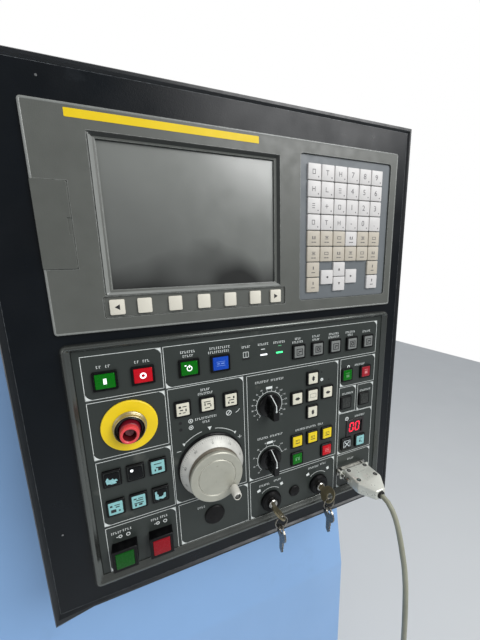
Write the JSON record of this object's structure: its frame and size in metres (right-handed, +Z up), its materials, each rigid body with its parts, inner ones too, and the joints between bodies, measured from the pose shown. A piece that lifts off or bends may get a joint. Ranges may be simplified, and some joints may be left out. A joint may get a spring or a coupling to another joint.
{
  "type": "turning lathe operator station",
  "caption": "Dark control console with screen, keypads, push buttons, handwheel and key switches, standing on the blue leaning front guard of a turning lathe.",
  "frame": {"origin": "centre of the bounding box's base, on the floor, measured without the cord", "axes": "+Z up, +X to the operator's right, +Y from the operator towards the rear cover"},
  "size_m": [0.573, 0.5274, 1.611],
  "materials": {
    "guard_blue": "satin",
    "plinth_black": "matte",
    "housing_black": "satin",
    "edge_rubber": "matte",
    "bezel_grey": "matte",
    "door_grey": "matte",
    "screen_glass": "gloss",
    "keypad_grey": "matte",
    "panel_grey": "matte",
    "frame_grey": "satin",
    "black_plastic": "satin",
    "satin_silver": "satin",
    "zinc_steel": "satin",
    "nickel_plate": "polished",
    "lock_chrome": "polished",
    "key_brass": "worn",
    "ivory_cap": "gloss",
    "green_cap": "gloss",
    "red_cap": "gloss",
    "yellow_cap": "gloss",
    "blue_cap": "gloss",
    "dark_green_cap": "gloss",
    "dark_red_cap": "gloss",
    "stop_yellow": "satin",
    "collar_brass": "satin",
    "stop_red": "satin",
    "stem_pink": "matte",
    "board_green": "matte",
    "hood_silver": "satin",
    "cord_beige": "satin"
  },
  "bodies": {
    "station": {"guard_shell": "guard_blue", "plinth": "plinth_black", "rear_cover": "guard_blue", "console_housing": "housing_black", "edge_trim": "edge_rubber", "cnc_bezel": "bezel_grey", "lcd_screen": "screen_glass", "mdi_keypad": "keypad_grey", "soft_key_strip": "keypad_grey", "control_rack": "zinc_steel", "operator_panel": "panel_grey", "panel_frame": "frame_grey", "io_board": "board_green", "tool_display": "black_plastic", "estop_ring": "stop_yellow", "estop_collar": "collar_brass", "estop_body": "black_plastic", "handwheel_base": "black_plastic", "handwheel_encoder": "zinc_steel", "lock_bezel_left": "black_plastic", "lock_bezel_right": "black_plastic", "serial_port": "zinc_steel", "connector_hood": "hood_silver", "serial_cable": "cord_beige", "cable_coil": "cord_beige", "cable_plug": "zinc_steel", "blanking_plug_left": "black_plastic", "blanking_plug_right": "black_plastic"},
    "card_door": {"card_door": "door_grey"},
    "estop_stem": {"estop_stem": "stem_pink"},
    "estop_head": {"estop_head": "stop_red"},
    "handwheel": {"handwheel": "satin_silver", "crank_screw": "zinc_steel"},
    "crank_grip": {"crank_grip": "ivory_cap"},
    "feed_knob": {"feed_knob": "black_plastic"},
    "spindle_knob": {"spindle_knob": "black_plastic"},
    "key_left": {"key_left": "key_brass", "key_barrel_left": "lock_chrome"},
    "ring_left": {"key_ring_left": "nickel_plate"},
    "spare_left": {"spare_key_left": "nickel_plate"},
    "key_right": {"key_right": "key_brass", "key_barrel_right": "lock_chrome"},
    "ring_right": {"key_ring_right": "nickel_plate"},
    "spare_right": {"spare_key_right": "nickel_plate"},
    "nc_on_button": {"nc_on_button": "green_cap"},
    "nc_off_button": {"nc_off_button": "red_cap"},
    "machine_ready_button": {"machine_ready_button": "green_cap"},
    "alarm_reset_button": {"alarm_reset_button": "blue_cap"},
    "jog_up_button": {"jog_up_button": "ivory_cap"},
    "jog_down_button": {"jog_down_button": "ivory_cap"},
    "jog_left_button": {"jog_left_button": "ivory_cap"},
    "jog_right_button": {"jog_right_button": "ivory_cap"},
    "jog_rapid_button": {"jog_rapid_button": "ivory_cap"},
    "mode_low_button": {"mode_low_button": "yellow_cap"},
    "mode_middle_button": {"mode_middle_button": "yellow_cap"},
    "mode_high_button": {"mode_high_button": "yellow_cap"},
    "spindle_start_button": {"spindle_start_button": "green_cap"},
    "spindle_stop_button": {"spindle_stop_button": "red_cap"},
    "cycle_start_button": {"cycle_start_button": "dark_green_cap"},
    "feed_hold_button": {"feed_hold_button": "dark_red_cap"}
  },
  "joints": [
    {"name": "nc_on_button_press", "type": "slide", "parent": "station", "child": "nc_on_button", "axis": [0, 1, 0], "range_m": [0, 0.002], "stiffness_N_per_m": 600},
    {"name": "nc_off_button_press", "type": "slide", "parent": "station", "child": "nc_off_button", "axis": [0, 1, 0], "range_m": [0, 0.002], "stiffness_N_per_m": 600},
    {"name": "machine_ready_button_press", "type": "slide", "parent": "station", "child": "machine_ready_button", "axis": [0, 1, 0], "range_m": [0, 0.002], "stiffness_N_per_m": 600},
    {"name": "alarm_reset_button_press", "type": "slide", "parent": "station", "child": "alarm_reset_button", "axis": [0, 1, 0], "range_m": [0, 0.002], "stiffness_N_per_m": 600},
    {"name": "jog_up_button_press", "type": "slide", "parent": "station", "child": "jog_up_button", "axis": [0, 1, 0], "range_m": [0, 0.002], "stiffness_N_per_m": 600},
    {"name": "jog_down_button_press", "type": "slide", "parent": "station", "child": "jog_down_button", "axis": [0, 1, 0], "range_m": [0, 0.002], "stiffness_N_per_m": 600},
    {"name": "jog_left_button_press", "type": "slide", "parent": "station", "child": "jog_left_button", "axis": [0, 1, 0], "range_m": [0, 0.002], "stiffness_N_per_m": 600},
    {"name": "jog_right_button_press", "type": "slide", "parent": "station", "child": "jog_right_button", "axis": [0, 1, 0], "range_m": [0, 0.002], "stiffness_N_per_m": 600},
    {"name": "jog_rapid_button_press", "type": "slide", "parent": "station", "child": "jog_rapid_button", "axis": [0, 1, 0], "range_m": [0, 0.002], "stiffness_N_per_m": 600},
    {"name": "mode_low_button_press", "type": "slide", "parent": "station", "child": "mode_low_button", "axis": [0, 1, 0], "range_m": [0, 0.002], "stiffness_N_per_m": 600},
    {"name": "mode_middle_button_press", "type": "slide", "parent": "station", "child": "mode_middle_button", "axis": [0, 1, 0], "range_m": [0, 0.002], "stiffness_N_per_m": 600},
    {"name": "mode_high_button_press", "type": "slide", "parent": "station", "child": "mode_high_button", "axis": [0, 1, 0], "range_m": [0, 0.002], "stiffness_N_per_m": 600},
    {"name": "spindle_start_button_press", "type": "slide", "parent": "station", "child": "spindle_start_button", "axis": [0, 1, 0], "range_m": [0, 0.002], "stiffness_N_per_m": 600},
    {"name": "spindle_stop_button_press", "type": "slide", "parent": "station", "child": "spindle_stop_button", "axis": [0, 1, 0], "range_m": [0, 0.002], "stiffness_N_per_m": 600},
    {"name": "cycle_start_button_press", "type": "slide", "parent": "station", "child": "cycle_start_button", "axis": [0, 1, 0], "range_m": [0, 0.002], "stiffness_N_per_m": 600},
    {"name": "feed_hold_button_press", "type": "slide", "parent": "station", "child": "feed_hold_button", "axis": [0, 1, 0], "range_m": [0, 0.002], "stiffness_N_per_m": 600},
    {"name": "card_door_hinge", "type": "hinge", "parent": "station", "child": "card_door", "pos_m": [-0.1357, -0.1884, 1.4815], "axis": [0, 0, -1], "range_deg": [0, 100]},
    {"name": "estop_press", "type": "slide", "parent": "station", "child": "estop_stem", "axis": [0, 1, 0], "range_m": [0, 0.004]},
    {"name": "estop_release", "type": "hinge", "parent": "estop_stem", "child": "estop_head", "pos_m": [-0.083, -0.1894, 1.286], "axis": [0, 1, 0], "range_deg": [0, 45], "stiffness_Nm_per_rad": 0.05},
    {"name": "handwheel_spin", "type": "hinge", "parent": "station", "child": "handwheel", "pos_m": [0.0002, -0.1894, 1.2155], "axis": [0, 1, 0], "continuous": true},
    {"name": "crank_grip_spin", "type": "hinge", "parent": "handwheel", "child": "crank_grip", "pos_m": [0.01782, -0.1894, 1.19848], "axis": [0, 1, 0], "continuous": true},
    {"name": "feed_knob_turn", "type": "hinge", "parent": "station", "child": "feed_knob", "pos_m": [0.0771, -0.1894, 1.2735], "axis": [0, 1, 0], "range_deg": [-135, 135]},
    {"name": "spindle_knob_turn", "type": "hinge", "parent": "station", "child": "spindle_knob", "pos_m": [0.0771, -0.1894, 1.199], "axis": [0, 1, 0], "range_deg": [-75, 75]},
    {"name": "key_turn_left", "type": "hinge", "parent": "station", "child": "key_left", "pos_m": [0.0771, -0.1894, 1.1368], "axis": [0, 1, 0], "range_deg": [0, 90]},
    {"name": "ring_hang_left", "type": "hinge", "parent": "key_left", "child": "ring_left", "pos_m": [0.07837, -0.2154, 1.13553], "axis": [0, 1, 0], "range_deg": [-90, 0]},
    {"name": "spare_swing_left", "type": "hinge", "parent": "ring_left", "child": "spare_left", "pos_m": [0.07837, -0.2154, 1.11913], "axis": [1, 0, 0], "range_deg": [-60, 25]},
    {"name": "key_turn_right", "type": "hinge", "parent": "station", "child": "key_right", "pos_m": [0.152, -0.1894, 1.1368], "axis": [0, 1, 0], "range_deg": [-90, 0]},
    {"name": "ring_hang_right", "type": "hinge", "parent": "key_right", "child": "ring_right", "pos_m": [0.15073, -0.2154, 1.13553], "axis": [0, 1, 0], "range_deg": [0, 90]},
    {"name": "spare_swing_right", "type": "hinge", "parent": "ring_right", "child": "spare_right", "pos_m": [0.15073, -0.2154, 1.11913], "axis": [1, 0, 0], "range_deg": [-60, 25]}
  ],
  "couplings": [
    {"joint": "ring_hang_left", "follows": "key_turn_left", "ratio": -1},
    {"joint": "ring_hang_right", "follows": "key_turn_right", "ratio": -1}
  ]
}
